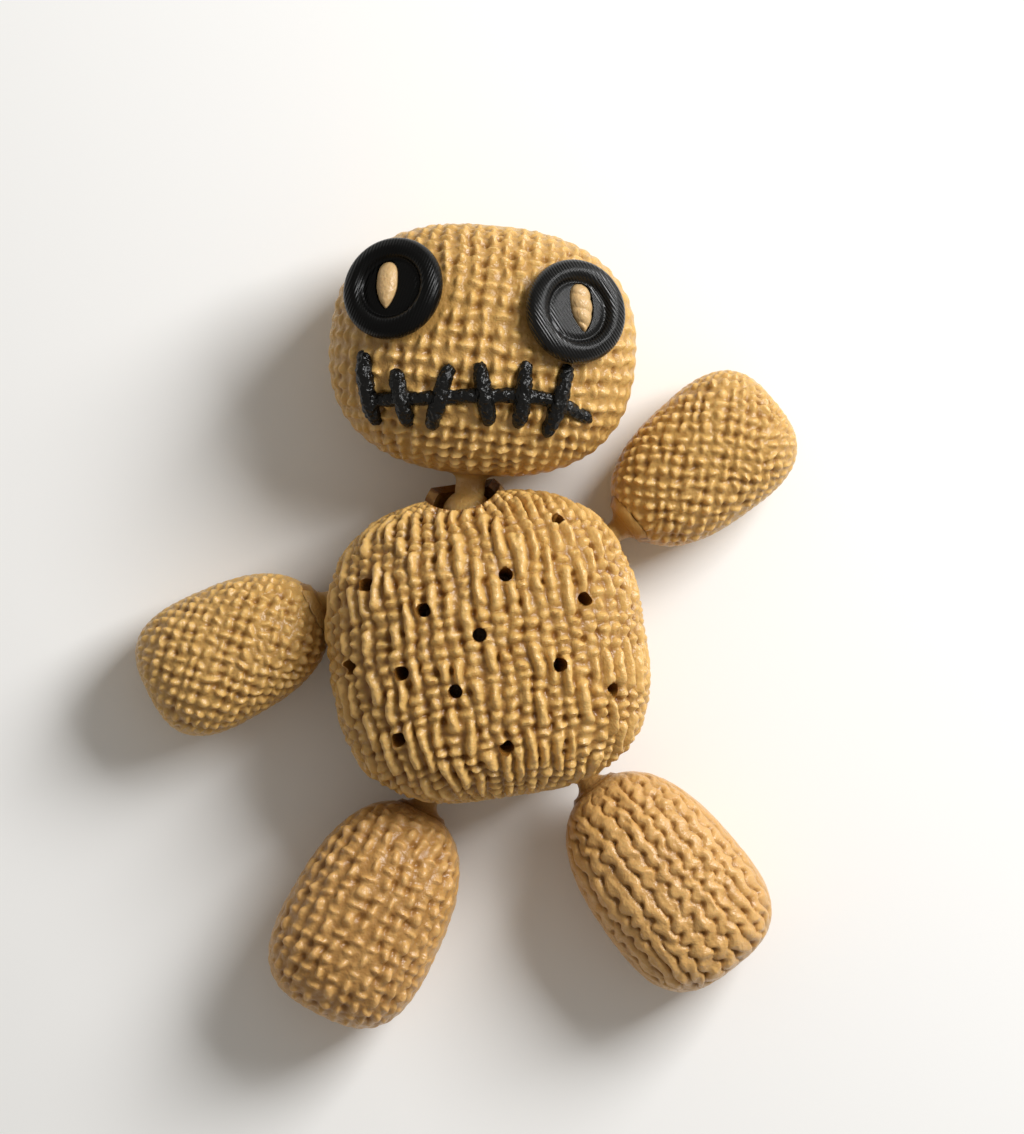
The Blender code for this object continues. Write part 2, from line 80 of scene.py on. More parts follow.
class Finish:
    # one material, built node by node round its Principled shader

    def __init__(self, name, **constants):
        self.material = bpy.data.materials.new(name)
        self.material.use_nodes = True
        self.tree = self.material.node_tree
        self.shader = self.tree.nodes["Principled BSDF"]
        for label, constant in constants.items():
            self.shader.inputs[label.replace("_", " ")].default_value = constant
        self.place = self.node("ShaderNodeTexCoord").outputs["Object"]

    def node(self, kind, settings=None, values=None):
        made = self.tree.nodes.new(kind)
        for name, setting in (settings or {}).items():
            setattr(made, name, setting)
        for socket, given in (values or {}).items():
            self.feed(made.inputs[socket], given)
        return made

    def feed(self, socket, given):
        if isinstance(given, Value):
            given = given.socket
        if isinstance(given, bpy.types.NodeSocket):
            self.tree.links.new(given, socket)
        else:
            socket.default_value = given

    def value(self, node, output):
        return Value(self, node.outputs[output])

    def cloud(self, size, detail=2.0):
        # smooth noise from 0 to 1 whose lumps are about this long
        made = self.node("ShaderNodeTexNoise", None,
                         {"Vector": self.place, "Scale": 1 / size, "Detail": detail})
        return self.value(made, "Fac")

    def mix(self, factor, first, second):
        made = self.node("ShaderNodeMix", {"data_type": "RGBA"},
                         {0: factor, 6: first, 7: second})
        return made.outputs[2]

    def along(self, direction):
        # distance along a direction, in metres
        made = self.node("ShaderNodeVectorMath", {"operation": "DOT_PRODUCT"},
                         {0: self.place, 1: direction})
        return self.value(made, "Value")

    def wave(self, distance, length):
        # 0 to 1 and back over each length
        phase = distance * (2 * math.pi / length)
        made = self.node("ShaderNodeMath", {"operation": "SINE"}, {0: phase})
        return self.value(made, 0) * 0.5 + 0.5

    def ranged(self, given, span, ends, interpolation="LINEAR"):
        # a value's span laid on new ends, held at both of them
        made = self.node("ShaderNodeMapRange", {"interpolation_type": interpolation},
                         {"Value": given, 1: span[0], 2: span[1], 3: ends[0], 4: ends[1]})
        return self.value(made, 0)

    def bump(self, height, distance, strength):
        # bump of this height, in metres, over what was there before
        values = {"Height": height, "Distance": distance, "Strength": strength}
        before = self.shader.inputs["Normal"]
        if before.is_linked:
            values["Normal"] = before.links[0].from_socket
        made = self.node("ShaderNodeBump", None, values)
        self.tree.links.new(made.outputs["Normal"], before)


# Finishes

plastic = {
    # the pale tans are both a random tone of the plastic and painted light on the weave's crests
    "tan": (0.56, 0.33, 0.085, 1), "tanPale": (0.69, 0.43, 0.145, 1),
    # groove is painted shade: the dark brown laid into the grooves and hollows
    "groove": (0.20, 0.07, 0.006, 1),
    "legTan": (0.54, 0.295, 0.082, 1), "legPale": (0.66, 0.39, 0.14, 1),
    "peg": (0.50, 0.32, 0.14, 1), "pegPale": (0.62, 0.42, 0.20, 1),
    "black": (0.002, 0.002, 0.002, 1), "blackWorn": (0.006, 0.006, 0.0055, 1),
    "layer": 0.2, "line": 0.42,  # pitch of the printed layers and of the lines on the buttons
}


def tanPlastic(name, woven, deep=0.9, shades=("tan", "tanPale")):
    # the weave attribute paints shade into the grooves, darkening them by a share, deep, and
    # paints light on the crests, making them paler
    finish = Finish(name, IOR=1.46, Subsurface_Weight=0.12, Subsurface_Scale=1.2 * mm,
                    Subsurface_Radius=(1.0, 0.5, 0.2))
    if woven:
        skin, pale = (plastic[shade] for shade in shades)
        attribute = finish.node("ShaderNodeAttribute", {"attribute_name": "weave"})
        height = finish.value(attribute, "Fac")
        # painted light: the crests of the weave are made paler towards the pale tan
        paintedCrestLight = finish.ranged(height, (0.5, 1.0), (0.0, 0.85))
        # painted shade: the low parts of the weave are darkened towards the groove colour
        groove = finish.ranged(height, (0.1, 0.66), (deep, 0.0), "SMOOTHSTEP")
        # a random paler tone in large patches, then painted light on the crests
        colour = finish.mix(paintedCrestLight, finish.mix(finish.cloud(7 * mm, 3), skin, pale), pale)
        colour = finish.mix(groove, colour, plastic["groove"])
    else:
        colour = finish.mix(finish.cloud(0.8 * mm, 2), plastic["peg"], plastic["pegPale"])
    finish.feed(finish.shader.inputs["Base Color"], colour)
    finish.feed(finish.shader.inputs["Roughness"], finish.cloud(2 * mm) * 0.16 + 0.22)
    level = finish.along((0, 0, 1)) + finish.cloud(3 * mm) * (0.15 * mm)
    layers = finish.wave(level, plastic["layer"] * mm)
    finish.bump(layers, 0.02 * mm, 0.7)
    finish.bump(finish.cloud(0.9 * mm, 2), 0.32 * mm, 0.6)
    finish.bump(finish.cloud(0.35 * mm, 2), 0.12 * mm, 0.7)
    return finish.material


def blackPlastic(name, lineAngle, shine):
    # the lines lie at an angle in plan and show more where the plastic shines more; the two
    # buttons are one black plastic, given different shine as painted light
    finish = Finish(name, IOR=1.5, Specular_IOR_Level=shine)
    turn = math.radians(lineAngle + 90)
    across = finish.along((math.cos(turn), math.sin(turn), 0))
    lines = finish.wave(across, plastic["line"] * mm)
    colour = finish.mix(lines * 0.3, plastic["black"], plastic["blackWorn"])
    finish.feed(finish.shader.inputs["Base Color"], colour)
    finish.feed(finish.shader.inputs["Roughness"], finish.cloud(1.5 * mm) * 0.15 + 0.2)
    finish.bump(lines, 0.16 * mm * shine + 0.02 * mm, 0.8)
    finish.bump(finish.cloud(0.4 * mm, 2), 0.04 * mm, 0.4)
    return finish.material


def threadPlastic(name):
    finish = Finish(name, IOR=1.5, Specular_IOR_Level=0.32)
    colour = finish.mix(finish.cloud(0.6 * mm), plastic["black"], plastic["blackWorn"])
    finish.feed(finish.shader.inputs["Base Color"], colour)
    finish.feed(finish.shader.inputs["Roughness"], finish.cloud(0.8 * mm) * 0.2 + 0.12)
    finish.bump(finish.cloud(0.5 * mm, 2), 0.3 * mm, 0.7)
    finish.bump(finish.cloud(0.22 * mm, 2), 0.07 * mm, 0.6)
    return finish.material


# Mesh helpers

def meshPiece(name, vertices, faces):
    mesh = bpy.data.meshes.new(name)
    mesh.from_pydata(np.asarray(vertices).tolist(), [], faces)
    piece = bpy.data.objects.new(name, mesh)
    bpy.context.scene.collection.objects.link(piece)
    return piece


def edited(piece, change):
    bm = bmesh.new()
    bm.from_mesh(piece.data)
    change(bm)
    bm.to_mesh(piece.data)
    bm.free()
    return piece


def outward(bm):
    bmesh.ops.recalc_face_normals(bm, faces=bm.faces)


def bake(piece, *others):
    # applies the piece's modifiers; the other objects are done with
    evaluated = piece.evaluated_get(bpy.context.evaluated_depsgraph_get())
    mesh = bpy.data.meshes.new_from_object(evaluated)
    piece.modifiers.clear()
    old = piece.data
    piece.data = mesh
    bpy.data.meshes.remove(old)
    for other in others:
        bpy.data.objects.remove(other, do_unlink=True)


def cut(piece, operation, tools):
    # Boolean with several tools at once
    group = bpy.data.collections.new(piece.name + operation)
    bpy.context.scene.collection.children.link(group)
    for tool in tools:
        bpy.context.scene.collection.objects.unlink(tool)
        group.objects.link(tool)
    modifier = piece.modifiers.new(operation, "BOOLEAN")
    modifier.operation = operation
    modifier.solver = "MANIFOLD"
    modifier.operand_type = "COLLECTION"
    modifier.collection = group
    bake(piece, *tools)
    bpy.data.collections.remove(group)


def lathe(name, profile, segments):
    # solid turned about Z, from a profile that starts and ends on the axis
    inner = np.array(profile[1:-1])
    turns = np.linspace(0, 2 * math.pi, segments, endpoint=False)
    rings = np.stack([inner[:, :1] * np.cos(turns), inner[:, :1] * np.sin(turns),
                      inner[:, 1:] + 0 * turns], axis=2)
    vertices = np.vstack([rings.reshape(-1, 3), (0, 0, profile[0][1]), (0, 0, profile[-1][1])])
    return edited(meshPiece(name, vertices, ringFaces(len(inner), segments)), outward)


def ringFaces(rings, segments):
    # quads between closed rings, with a fan to the last two vertices at the ends
    start = np.arange(rings - 1)[:, None] * segments
    here = np.arange(segments)[None, :]
    after = (here + 1) % segments
    quads = np.stack([start + here, start + after, start + segments + after,
                      start + segments + here], axis=2).reshape(-1, 4).tolist()
    first, last = rings * segments, rings * segments + 1
    end = (rings - 1) * segments
    fans = [(first, (k + 1) % segments, k) for k in range(segments)]
    fans += [(last, end + k, end + (k + 1) % segments) for k in range(segments)]
    return quads + fans


def levelled(piece, level):
    # the same height in the weave all over, for the plain parts of a woven body; it sets how much
    # painted groove shade they get
    kept = piece.data.attributes.new("weave", "FLOAT", "POINT")
    kept.data.foreach_set("value", np.full(len(piece.data.vertices), level))
    return piece


def arc(centre, radius, start, end, steps):
    angles = np.radians(np.linspace(start, end, steps + 1))
    return [(centre[0] + radius * math.cos(a), centre[1] + radius * math.sin(a))
            for a in angles]


def ball(name, centre, radius, segments=48):
    profile = [(radius * math.sin(a), radius * math.cos(a))
               for a in np.linspace(0, math.pi, segments // 2 + 1)]
    piece = lathe(name, profile, segments)
    piece.data.transform(Matrix.Translation(centre))
    return piece


def dress(piece, material, body, node):
    piece.data.materials.clear()
    piece.data.materials.append(material)
    piece.data.shade_smooth()
    piece.data.set_sharp_from_angle(angle=math.radians(58))
    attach(piece, body)
    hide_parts(node)
    print(piece.name, len(piece.data.polygons), "faces")


# Woven bodies

weave = {
    "middle": 0.55,  # height at which the surface lies on the plain form
    "front": 0.66,  # share of the points round a section that lie on its front
    "outline": 6000, "profile": 4000,  # steps that their lengths are measured in
    "under": 0.56, "ring": 0.62, "shift": 0.07,  # yarns below, their rim, strays of the yarns
    "pitDepth": 0.5, "pitSpread": 0.035, "blunt": 2.4, "crown": 0.55,
}


class Pillow:
    # a round body with a superellipse outline in plan and a superellipse section

    def __init__(self, shape):
        self.width, self.height, self.depth = (side * mm for side in shape["half"])
        self.powers = shape["powers"]  # outline below and above the middle
        self.lean = shape["section"]
        self.spread = shape["spread"]
        self.edgeRelief = shape["edgeRelief"]  # share of the relief left where the side turns away
        self.centre = self.depth - shape["backCut"] * mm

    def outline(self, first, second, powers, start, sweep, shares):
        # unit points at these shares of the length of a superellipse with these half sizes
        angles = np.linspace(start, start + sweep, weave["outline"] + 1)
        cosine, sine = np.cos(angles), np.sin(angles)
        power = np.where(sine < 0, *powers)
        radius = (abs(cosine) ** power + abs(sine) ** power) ** (-1 / power)
        u, v = radius * cosine, radius * sine
        steps = np.hypot(np.diff(u) * first, np.diff(v) * second)
        run = np.concatenate(([0], np.cumsum(steps)))
        places = shares * run[-1]
        return np.interp(places, run, u), np.interp(places, run, v), places

    def profile(self, count):
        shares = np.linspace(0, 1, count + 1)
        return self.outline(self.width, self.height, self.powers, math.pi / 2, -math.pi, shares)

    def section(self, count):
        # the front gets more of the points than the back
        shares = np.interp(np.linspace(0, 1, count + 1), (0, weave["front"], 1), (0, 0.5, 1))
        powers = self.lean, self.lean
        return self.outline(self.width, self.depth, powers, 0, 2 * math.pi, shares)

    def surface(self, share, along, across, deep):
        # points and outward normals, from unit places along the profile and round the section
        widen = 1 + self.spread * along
        place = np.stack([across * share * self.width * widen, along * self.height + 0 * across,
                          deep * share * self.depth * widen], axis=-1)
        power = np.where(along < 0, *self.powers)
        ring = share ** (power - 1)
        lean = self.lean - 1
        normal = np.stack([ring * np.sign(across) * abs(across) ** lean / self.width,
                           np.sign(along) * abs(along) ** (power - 1) / self.height + 0 * across,
                           ring * np.sign(deep) * abs(deep) ** lean / self.depth], axis=-1)
        return place, normal / np.linalg.norm(normal, axis=-1, keepdims=True)

    def front(self, x, y):
        # point and normal of the front surface above a place in plan
        along = y / self.height
        power = self.powers[0] if along < 0 else self.powers[1]
        share = (1 - abs(along) ** power) ** (1 / power)
        across = x / (self.width * (1 + self.spread * along) * share)
        deep = (1 - abs(across) ** self.lean) ** (1 / self.lean)
        place, normal = self.surface(*(np.array([part]) for part in (share, along, across, deep)))
        return Vector(place[0]), Vector(normal[0])

    def runs(self, share, along, turns):
        # arc lengths from the middle of the front, sideways round the section and lengthways
        part = 0.25 - turns[None, :-1] / turns[-1]
        part = np.where(part < -0.5, part + 1, part)
        _, alongs, lengths = self.profile(weave["profile"])
        middle = np.interp(0, -alongs, lengths)
        lengthways = middle - np.interp(-along, -alongs, lengths)
        return part * turns[-1] * share * (1 + self.spread * along), lengthways + 0 * part


def ease(x):
    x = np.clip(x, 0, 1)
    return x * x * (3 - 2 * x)


def softNoise(seed, x, y):
    # smooth noise from -1 to 1 over a plane, one lump a unit
    size = 64
    table = np.random.default_rng(seed).uniform(-1, 1, (size, size))
    column, row = np.floor(x).astype(int), np.floor(y).astype(int)
    across, up = ease(x - column), ease(y - row)

    def at(i, j):
        return table[(column + i) % size, (row + j) % size]

    low = at(0, 0) * (1 - across) + at(1, 0) * across
    high = at(0, 1) * (1 - across) + at(1, 1) * across
    return low * (1 - up) + high * up


def crossings(cloth, random):
    # which yarn lies on top at each crossing, with the middle and half length of each warp float
    columns, rows = cloth["repeat"]
    chance = random.uniform(0, 1, (columns, rows))
    checks = np.add.outer(np.arange(columns), np.arange(rows)) % 2 == 0
    warpOnTop = checks ^ (chance < cloth["slips"])
    middle, half = np.zeros((columns, rows)), np.zeros((columns, rows))
    for column in range(columns):
        row = 0
        while row < rows:
            if cloth["knots"]:
                knots = random.choice(cloth["knots"])
                floats = random.choice(cloth["floats"])
                warpOnTop[column, row:row + knots] = False
                warpOnTop[column, row + knots:row + knots + floats] = True
                row = row + knots
            end, longest = row, max(cloth["floats"])
            while end < rows and warpOnTop[column, end] and end - row < longest:
                end += 1
            middle[column, row:end] = (row + end - 1) / 2
            half[column, row:end] = (end - row - 1) / 2
            row = max(end, row + 1)
    return warpOnTop, middle, half


def weaveHeight(a, b, cloth):
    # height, about 0 to 1, of a weave: warps run along b and wefts along a, one a unit
    seed, wander, vary = cloth["seed"], cloth["wander"], cloth["vary"]
    slow, fast = softNoise(seed, a * 0.55, b * 0.45), softNoise(seed + 3, a * 1.7, b * 1.4)
    a = a + wander * (slow + 0.4 * fast)
    slow, fast = softNoise(seed + 1, a * 0.45, b * 0.55), softNoise(seed + 4, a * 1.4, b * 1.7)
    b = b + wander * (slow + 0.4 * fast)
    random = np.random.default_rng(seed + 2)
    warpOnTop, middle, half = crossings(cloth, random)
    columns, rows = cloth["repeat"]
    size, slant, shift, hollow = (random.uniform(-1, 1, (columns, rows)) for _ in range(4))
    phase = cloth["offset"] * random.uniform(0, 1, columns)
    nearColumn = np.rint(a).astype(int)
    warpUnder, weftUnder, ring = cloth["under"]
    warps = warpUnder * roundTop((a - nearColumn) / weave["under"])
    wefts = weftUnder * roundTop((b - np.rint(b)) / weave["under"])
    height = np.maximum(np.maximum(warps, wefts), cloth["base"])
    low = 0
    for column in (nearColumn - 1, nearColumn, nearColumn + 1):
        shifted = b - phase[column % columns]
        nearRow = np.rint(shifted).astype(int)
        rim = roundTop((a - column) / weave["ring"], (shifted - nearRow) / weave["ring"])
        height = np.maximum(height, ring * rim)
        for row in (nearRow - 1, nearRow, nearRow + 1):
            cell = column % columns, row % rows
            across = a - column - weave["shift"] * shift[cell]
            along = shifted - row
            grown = 1 + vary * size[cell]
            skew = cloth["slant"] * slant[cell]
            run = along - middle[cell] + row % rows
            beyond = np.clip(abs(run) - half[cell], 0, None)
            warp = roundTop((across - skew * run) / (cloth["warp"][0] * grown),
                            beyond / cloth["warp"][1])
            weft = roundTop(across / cloth["weft"][0],
                            (along - skew * across) / (cloth["weft"][1] * grown))
            lump = np.where(warpOnTop[cell], warp, cloth["knot"] * weft) * grown
            height = np.maximum(height, lump)
            corner = (a - column - 0.5) ** 2 + (along - 0.5) ** 2
            pit = np.exp(-corner / weave["pitSpread"])
            low = low + np.where(hollow[cell] > 1 - 2 * cloth["pits"], pit, 0)
    grain = cloth["rough"] * softNoise(seed + 5, a * 3.1, b * 3.7)
    return height - weave["pitDepth"] * low + grain * ease(height / 0.5)


def roundTop(first, second=0):
    # rounded lump, 1 in its middle and 0 from its edge on
    left = 1 - abs(first) ** weave["blunt"] - abs(second) ** weave["blunt"]
    return np.clip(left, 0, 1) ** weave["crown"]


def zigzagHeight(a, b, cloth):
    # ribs along b that swing from side to side, steep on one side, with dents at inner bends
    seed = cloth["seed"]
    a = a + 0.36 * softNoise(seed, a * 0.5, b * 0.35) + 0.1 * softNoise(seed + 5, a * 1.6, b * 1.9)
    b = b + 0.5 * softNoise(seed + 1, a * 0.7, b * 0.5)
    strength = 0.7 + 0.6 * softNoise(seed + 3, a * 0.8, b * 0.7)
    swing = np.arcsin(0.88 * np.sin(2 * math.pi * b)) / (math.pi / 2)
    shifted = a + cloth["swing"] * strength * swing
    offset = shifted - np.rint(shifted)
    steep, gentle = cloth["flanks"]
    rib = roundTop(np.where(offset > 0, offset / steep, offset / gentle))
    rib = rib * (0.78 + 0.3 * softNoise(seed + 2, a * 1.3, b * 2.4))
    bend = np.cos(2 * math.pi * (b - 0.25))
    dent = np.exp(-((offset - 0.4) ** 2 / 0.03)) * ease((bend - 0.3) / 0.7)
    grain = cloth["rough"] * abs(softNoise(seed + 4, a * 3, b * 3))
    return np.clip(rib - cloth["dent"] * dent, 0, 1.2) - grain


def blurred(height):
    height = (np.roll(height, 1, 1) + 4 * height + np.roll(height, -1, 1)) / 6
    inner = (height[:-2] + 4 * height[1:-1] + height[2:]) / 6
    return np.vstack([height[:1], inner, height[-1:]])


def wovenBody(name, pillow, samples, relief, pattern):
    # closed body, its weave raised on it, cut flat at the back, about its own middle
    columns, rows = samples
    middle = weave["middle"]
    shares, alongs, _ = pillow.profile(rows)
    acrosses, deeps, turns = pillow.section(columns)
    share, along = shares[1:-1, None], alongs[1:-1, None]
    across, deep = acrosses[None, :-1], deeps[None, :-1]
    place, normal = pillow.surface(share, along, across, deep)
    height = blurred(pattern(pillow, place, share, along, turns))
    facingUp = normal[..., 2]
    fade = pillow.edgeRelief * ease((facingUp + 0.95) / 0.75)  # towards the back
    fade = fade + (1 - pillow.edgeRelief) * ease(facingUp / 0.6)
    fade = fade * ease(share / 0.32)  # towards the poles
    height = middle + (height - middle) * fade
    rings = place + normal * (relief * mm * (height - middle))[..., None]
    poles = [(0, pillow.height, 0), (0, -pillow.height, 0)]
    vertices = np.vstack([rings.reshape(-1, 3), *poles])
    piece = meshPiece(name, vertices, ringFaces(rows - 1, columns))
    # the height is kept as the weave attribute, from which the tan materials paint shade into the
    # grooves and light on the crests
    kept = piece.data.attributes.new("weave", "FLOAT", "POINT")
    kept.data.foreach_set("value", np.append(height.ravel(), (middle, middle)))

    def flatten(bm):
        everything = bm.verts[:] + bm.edges[:] + bm.faces[:]
        back = (0, 0, -pillow.centre)
        done = bmesh.ops.bisect_plane(bm, geom=everything, plane_co=back, plane_no=(0, 0, -1),
                                      clear_outer=True)
        rim = [edge for edge in done["geom_cut"] if isinstance(edge, bmesh.types.BMEdge)]
        bmesh.ops.edgeloop_fill(bm, edges=rim)
        outward(bm)

    return edited(piece, flatten)


# Ball joints

# level is the weave value of a joint's ball and stem, which sets their painted groove shade; the
# limbs' lower level darkens their stems as painted shade
limbJoint = {
    "ball": 3.7, "stem": 1.65, "flare": 2.0, "blend": (1.2, 1.4), "length": 6.8,
    "cavity": 4.3, "wall": 1.25, "mouth": 56, "level": 0.44,
}
neckJoint = {
    "ball": 4.0, "stem": 2.3, "flare": 1.2, "blend": (1.2, 0.45), "length": 6.4,
    "cavity": 5.6, "wall": 1.5, "mouth": 44, "level": 0.6,
}


def pivot(child):
    joint = next(joint for joint in frame["joints"] if joint["child"] == child)
    return Vector(joint["pos_m"])


def turned(angle):
    # turns Y to a direction in plan
    return Matrix.Rotation(math.radians(angle - 90), 4, "Z")


upright = Matrix.Rotation(-math.pi / 2, 4, "X")  # turns Z to Y


def stemTool(name, joint):
    # ball, stem and trumpet flare, with a disc that sinks into the body
    parts = "ball", "stem", "flare", "length"
    ballRadius, stem, flare, length = (joint[part] * mm for part in parts)
    neck = math.degrees(math.acos(stem / ballRadius))
    wide, rise = (part * mm for part in joint["blend"])
    disc = stem + flare + wide
    profile = [(0, length + stem), (disc, length + stem), (disc, length + rise)]
    profile += arc((stem + flare, length - flare), flare, 90, 180, 14)
    profile += arc((0, 0), ballRadius, neck, -90, 28)
    profile[-1] = (0, -ballRadius)
    tool = levelled(lathe(name, profile, 64), joint["level"])
    tool.data.transform(upright)
    return tool


def hungBody(name, shape, joint, pattern):
    # a woven body with its stem and ball, about the ball's centre and pointing up Y
    pillow = Pillow(shape)
    piece = wovenBody(name, pillow, shape["samples"], shape["relief"], pattern)
    rise = pillow.centre - pivot(name).z
    middle = Vector((0, joint["length"] * mm + pillow.height, rise))
    piece.data.transform(Matrix.Translation(middle))
    cut(piece, "UNION", [stemTool(name + "Stem", joint)])
    return piece, pillow, middle


def hang(piece, body, angle):
    piece.data.transform(Matrix.Translation(pivot(body)) @ turned(angle))


# Torso

torso = {
    "half": (24.7, 23.8, 16.5), "powers": (3.0, 2.65), "section": 2.3, "spread": 0,
    "backCut": 2.0, "edgeRelief": 0.4, "relief": 1.5, "samples": (448, 246),
    "columns": 56, "rowPitch": 2.0, "poleLevel": 0.5,
    "neckBite": (9.3, 2.0), "notch": (-0.4, 25.3, 6.2, 3.8), "limbGap": 0.9,
    "pinRadius": 1.1, "pinDepth": 7, "pinTop": 2,
    "pins": [(-17.2, 12.2), (-8.8, 7.0), (4.6, 10.6), (-0.8, 1.9), (13.9, 18.0),
             (16.2, 5.0), (10.7, -4.5), (-21.4, -0.1), (-13.7, -2.2), (-5.8, -6.2),
             (18.6, -9.6), (-15.7, -12.3), (0.8, -16.0)],
}
# wander and vary make yarns stray and lumps differ; knots and floats are the lengths of wefts
# and of warps on top; warp and weft are half sizes of lumps; under has the heights between them
torsoCloth = {
    "seed": 11, "wander": 0.24, "vary": 0.15, "base": 0, "rough": 0.19, "repeat": (56, 64),
    "slips": 0, "offset": 1, "knots": (1, 1, 2, 3, 4), "floats": (1, 2, 2, 3, 4),
    "warp": (0.3, 0.5), "weft": (0.46, 0.31), "knot": 0.96, "slant": 0.12,
    "under": (0.36, 0.1, 0.44), "pits": 0.3,
}
sockets = {
    "angles": {"head": 90, "left_arm": 174.5, "right_arm": 5.5, "left_leg": 235,
               "right_leg": -55},
    "reach": 1.6,  # length of a mouth's cone, counted in cups
    # weave values of the collars, hollows and mouth cones: the lower ones take more painted groove
    # shade, so the hollows and the mouths are darkened as shade
    "cupLevel": 0.55, "hollowLevel": 0.3, "mouthLevel": 0.45,
}


def torsoPattern(pillow, place, share, along, turns):
    # the warps are mostly straight lines, in part meridians, which meet at the poles
    sideways, lengthways = pillow.runs(share, along, turns)
    column = torso["columns"] * sideways / turns[-1] * (0.7 + 0.3 / share)
    height = weaveHeight(column, lengthways / (torso["rowPitch"] * mm), torsoCloth)
    level = torso["poleLevel"]
    return level + (height - level) * ease(share / 0.5)


def socketTools():
    # the collars to add, and the hollows and the cones of the mouths to cut
    cups, hollows, cones = [], [], []
    for child, angle in sockets["angles"].items():
        joint = neckJoint if child == "head" else limbJoint
        cavity = joint["cavity"] * mm
        radius = cavity + joint["wall"] * mm
        cup = ball(child + "Cup", pivot(child), radius, 64)
        cups.append(levelled(cup, sockets["cupLevel"]))
        hollow = ball(child + "Hollow", pivot(child), cavity)
        hollows.append(levelled(hollow, sockets["hollowLevel"]))
        reach = radius * sockets["reach"]
        wide = reach * math.tan(math.radians(joint["mouth"]))
        cone = lathe(child + "Mouth", [(0, reach), (wide, reach), (0, 0)], 64)
        cone.data.transform(Matrix.Translation(pivot(child)) @ turned(angle) @ upright)
        cones.append(levelled(cone, sockets["mouthLevel"]))
    return cups, hollows, cones


def limbBites(limbs):
    # room for the ends of the limbs at both limits of their swing
    bites = []
    for child, (shape, swing) in limbs.items():
        end = shape["half"][0] * (1 - shape["spread"])
        reach = (limbJoint["length"] + end) * mm
        height = shape["half"][2] - shape["backCut"]
        for side in (-1, 1):
            angle = math.radians(sockets["angles"][child] + side * swing)
            where = pivot(child) + Vector((math.cos(angle), math.sin(angle), 0)) * reach
            where.z = height * mm
            bites.append(ball("bite", where, (end + torso["limbGap"]) * mm, 64))
    return bites


def pinTools(pillow):
    radius, top, deep = (torso[part] * mm for part in ("pinRadius", "pinTop", "pinDepth"))
    pins = []
    for x, y in torso["pins"]:
        where, normal = pillow.front(x * mm, y * mm)
        pin = lathe("pin", [(0, top), (radius, top), (radius, -deep), (0, -deep)], 40)
        turn = normal.to_track_quat("Z", "Y").to_matrix().to_4x4()
        pin.data.transform(Matrix.Translation(where + Vector((0, 0, pillow.centre))) @ turn)
        pins.append(pin)
    return pins


def notchTool():
    # opens the front edge above the neck, where the collar's inside shows
    x, y, halfWidth, halfHeight = torso["notch"]
    rim = [((x + halfWidth * math.cos(a)) * mm, (y + halfHeight * math.sin(a)) * mm)
           for a in np.linspace(0, 2 * math.pi, 49)[:-1]]
    return prism("notch", rim, pivot("head").z, 40 * mm)


def makeTorso(limbs, material):
    pillow = Pillow(torso)
    piece = wovenBody("torsoWoven", pillow, torso["samples"], torso["relief"], torsoPattern)
    piece.data.transform(Matrix.Translation((0, 0, pillow.centre)))
    radius, depth = (part * mm for part in torso["neckBite"])
    bite = ball("neckBite", (0, pillow.height - depth + radius, pillow.centre), radius, 64)
    # the bites, the notch and the pins carry no weave value, so the faces they cut take the full
    # painted groove shade
    cut(piece, "DIFFERENCE", [bite] + limbBites(limbs))
    cups, hollows, cones = socketTools()
    cut(piece, "UNION", cups)
    pins = pinTools(pillow)
    cut(piece, "DIFFERENCE", hollows + [notchTool()] + pins)
    cut(piece, "DIFFERENCE", cones)
    dress(piece, material, "torso", "torso")


# Head

head = {
    "half": (23.9, 19.5, 16.0), "powers": (2.45, 2.45), "section": 2.3, "spread": 0,
    "backCut": 2.0, "edgeRelief": 0.25, "relief": 1.45, "samples": (456, 222),
    "angle": 76.2, "warpPitch": 2.35, "weftPitch": 2.55,
}
headCloth = {
    "seed": 23, "wander": 0.17, "vary": 0.14, "base": 0.3, "rough": 0.1, "repeat": (96, 96),
    "slips": 0.1, "offset": 0, "knots": (), "floats": (1,),
    "warp": (0.27, 0.46), "weft": (0.5, 0.25), "knot": 0.95, "slant": 0.16,
    "under": (0.4, 0.4, 0.36), "pits": 0.4,
}
button = {
    "radius": 8.2, "thickness": 3.9, "sink": 0.8, "gap": 0.3, "slotGap": 0.12, "tilt": -8.5,
    "places": {"left": (-14.15, 7.6), "right": (13.4, 6.7)}, "lines": {"left": 60, "right": -65},
    # the right button is given more shine than the left, painted light on the same black plastic
    "shine": {"left": 0.14, "right": 0.36}, "groundLevel": 0.3,
}
peg = {
    "half": (1.8, 3.85), "middle": 2.2, "rise": 1.9, "drop": 3.6, "crease": 0.5,
    "steps": (72, 40), "places": {"left": (-0.7, 0.35), "right": (0.8, 0.4)},
}


def boxPattern(cloth, warpPitch, weftPitch, bias=0):
    # a weave laid straight over the front, which wraps round the sides
    turn = math.radians(bias)

    def pattern(pillow, place, share, along, turns):
        sideways, lengthways = pillow.runs(share, along, turns)
        a = sideways * math.cos(turn) - lengthways * math.sin(turn)
        b = sideways * math.sin(turn) + lengthways * math.cos(turn)
        height = weaveHeight(a / (warpPitch * mm), b / (weftPitch * mm), cloth)
        return fadedAtJoint(height, pillow, lengthways)

    return pattern


def fadedAtJoint(height, pillow, lengthways):
    # a limb's weave sinks towards its stem
    if not pillow.spread:
        return height
    fade = 0.15 + 0.85 * ease((lengthways - lengthways.min() - 4 * mm) / (6 * mm))
    return weave["middle"] + (height - weave["middle"]) * fade


def lensWidth(t):
    # half width of a peg as a share, from its point at -1 to its blunt top at 1
    return (1 - t ** 4) ** 0.5 if t > 0 else (1 - abs(t) ** 1.7) ** 0.75


